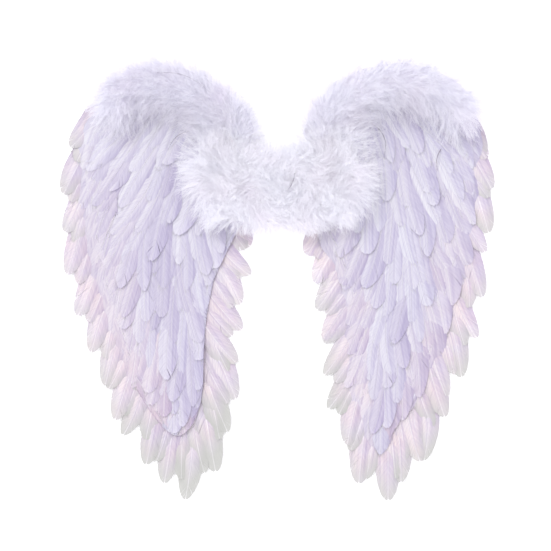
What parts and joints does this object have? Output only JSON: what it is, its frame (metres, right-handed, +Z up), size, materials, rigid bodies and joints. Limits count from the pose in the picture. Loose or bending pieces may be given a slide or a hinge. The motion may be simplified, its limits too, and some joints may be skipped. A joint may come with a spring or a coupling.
{
  "type": "costume angel wings",
  "caption": "Pair of feathered costume wings on flat boards, joined by a panel under marabou down, with long feathers round each rim and elastic shoulder loops.",
  "frame": {"origin": "on the surface that the wings lie on, under the middle of their outline", "axes": "+Z up, out of the feathered face; +Y along the wings towards the shoulders; +X towards the tip of the right wing as the feathered face is seen"},
  "size_m": [0.6057, 0.6178, 0.0465],
  "materials": {
    "board": "matte, covered with white felt",
    "rim_feather": "soft satin, pale pink-white goose feathers",
    "face_feather": "soft satin, pale lavender-white goose feathers",
    "down": "fluffy marabou down",
    "elastic": "matte woven elastic"
  },
  "bodies": {
    "root": {"centre_marabou": "down", "centre_panel": "board", "edge_feathers_left": "rim_feather", "edge_feathers_right": "rim_feather", "feather_row_10_left": "face_feather", "feather_row_10_right": "face_feather", "feather_row_11_left": "face_feather", "feather_row_11_right": "face_feather", "feather_row_1_left": "face_feather", "feather_row_1_right": "face_feather", "feather_row_2_left": "face_feather", "feather_row_2_right": "face_feather", "feather_row_3_left": "face_feather", "feather_row_3_right": "face_feather", "feather_row_4_left": "face_feather", "feather_row_4_right": "face_feather", "feather_row_5_left": "face_feather", "feather_row_5_right": "face_feather", "feather_row_6_left": "face_feather", "feather_row_6_right": "face_feather", "feather_row_7_left": "face_feather", "feather_row_7_right": "face_feather", "feather_row_8_left": "face_feather", "feather_row_8_right": "face_feather", "feather_row_9_left": "face_feather", "feather_row_9_right": "face_feather", "shoulder_marabou_left": "down", "shoulder_marabou_right": "down", "shoulder_strap_left": "elastic", "shoulder_strap_right": "elastic", "wing_board_left": "board", "wing_board_right": "board"}
  },
  "joints": []
}
